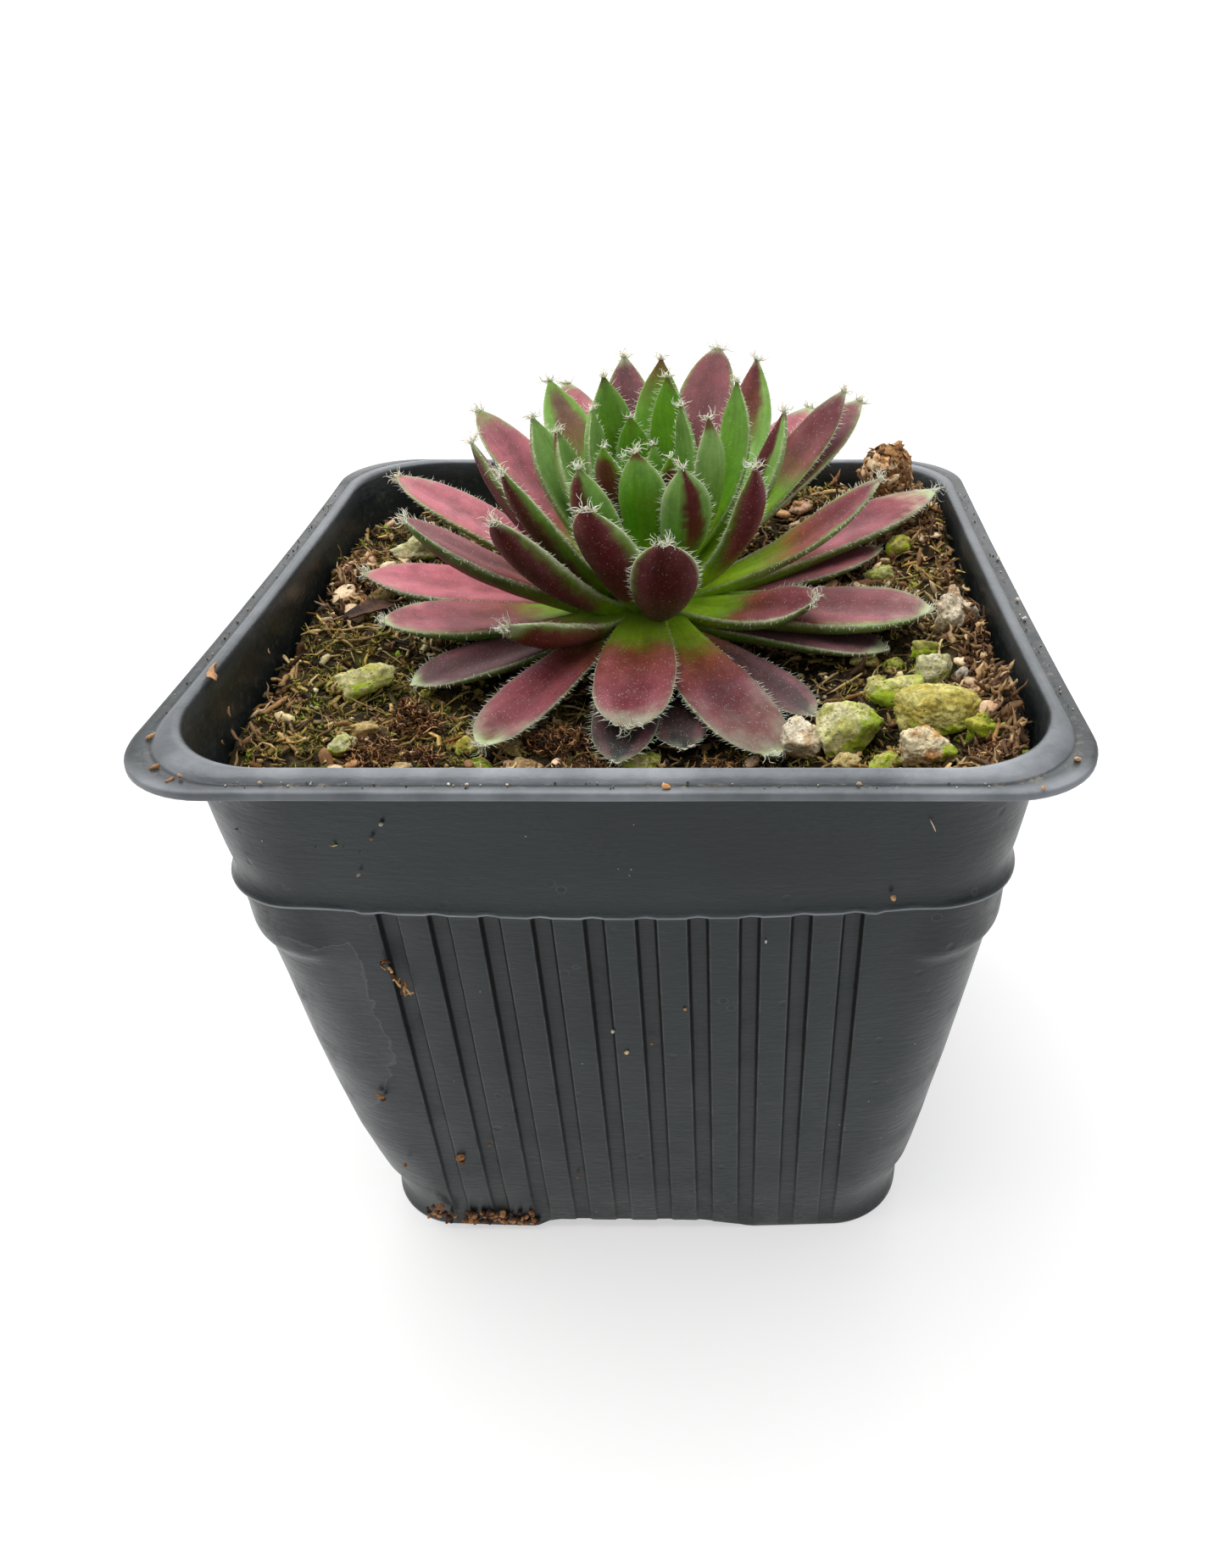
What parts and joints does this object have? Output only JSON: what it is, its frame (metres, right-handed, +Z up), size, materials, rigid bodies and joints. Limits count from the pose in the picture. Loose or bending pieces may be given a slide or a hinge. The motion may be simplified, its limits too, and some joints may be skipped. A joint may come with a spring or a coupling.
{
  "type": "potted succulent rosette",
  "caption": "Open rosette of pointed fleshy leaves on a short stem, growing in gritty potting mix in a square tapered nursery pot with fluted faces and a wide rim.",
  "frame": {"origin": "middle of the pot's square footprint, at the level of its feet", "axes": "+Z up, -Y out of the pot's front face, +X to the right seen from the front"},
  "size_m": [0.09, 0.09, 0.0957],
  "materials": {
    "pot_plastic": "thin dark charcoal thermoformed plastic, satin, slightly rippled, with dried water marks",
    "potting_mix": "damp dark peat and bark mix with straw bits and moss",
    "grit": "porous pumice grit, partly green with algae",
    "dry_moss": "dry brown moss and peat fibre",
    "dead_leaf": "shrivelled dark brown dead leaf",
    "stem": "pale green fleshy stem",
    "leaf_inner": "fresh green succulent leaf, satin, fine white hairs on the margins",
    "leaf_middle": "green leaf flushed burgundy towards the tip, satin, velvety",
    "leaf_outer": "burgundy leaf, lime green at the base, pale green margins",
    "leaf_spread": "dusty pink to mauve leaf with grey-green margins",
    "leaf_lower": "dull mauve older leaf with a greyish bloom"
  },
  "bodies": {
    "root": {"pot": "pot_plastic", "potting_mix": "potting_mix", "stone_cream": "grit", "stone_large_yellow": "grit", "stone_green": "grit", "stone_white": "grit", "stone_orange": "grit", "moss_clump": "dry_moss", "dead_leaf": "dead_leaf", "rosette_stem": "stem", "center_bud": "leaf_inner", "leaf_inner_01": "leaf_inner", "leaf_inner_02": "leaf_inner", "leaf_inner_03": "leaf_inner", "leaf_inner_04": "leaf_inner", "leaf_inner_05": "leaf_inner", "leaf_inner_06": "leaf_inner", "leaf_inner_07": "leaf_inner", "leaf_inner_08": "leaf_inner", "leaf_inner_09": "leaf_inner", "leaf_inner_10": "leaf_inner", "leaf_inner_11": "leaf_inner", "leaf_middle_01": "leaf_middle", "leaf_middle_02": "leaf_middle", "leaf_middle_03": "leaf_middle", "leaf_middle_04": "leaf_middle", "leaf_middle_05": "leaf_middle", "leaf_middle_06": "leaf_middle", "leaf_middle_07": "leaf_middle", "leaf_middle_08": "leaf_middle", "leaf_middle_09": "leaf_middle", "leaf_middle_10": "leaf_middle", "leaf_outer_01": "leaf_outer", "leaf_outer_02": "leaf_outer", "leaf_outer_03": "leaf_outer", "leaf_outer_04": "leaf_outer", "leaf_outer_05": "leaf_outer", "leaf_outer_06": "leaf_outer", "leaf_outer_07": "leaf_outer", "leaf_outer_08": "leaf_outer", "leaf_outer_09": "leaf_outer", "leaf_outer_10": "leaf_outer", "leaf_outer_11": "leaf_outer", "leaf_outer_12": "leaf_outer", "leaf_spread_01": "leaf_spread", "leaf_spread_02": "leaf_spread", "leaf_spread_03": "leaf_spread", "leaf_spread_04": "leaf_spread", "leaf_spread_05": "leaf_spread", "leaf_spread_06": "leaf_spread", "leaf_spread_07": "leaf_spread", "leaf_back_01": "leaf_spread", "leaf_back_02": "leaf_spread", "leaf_back_03": "leaf_spread", "leaf_lower_01": "leaf_lower", "leaf_lower_02": "leaf_lower", "leaf_lower_03": "leaf_lower", "leaf_lower_04": "leaf_lower", "leaf_lower_05": "leaf_lower", "leaf_lower_06": "leaf_lower"}
  },
  "joints": []
}
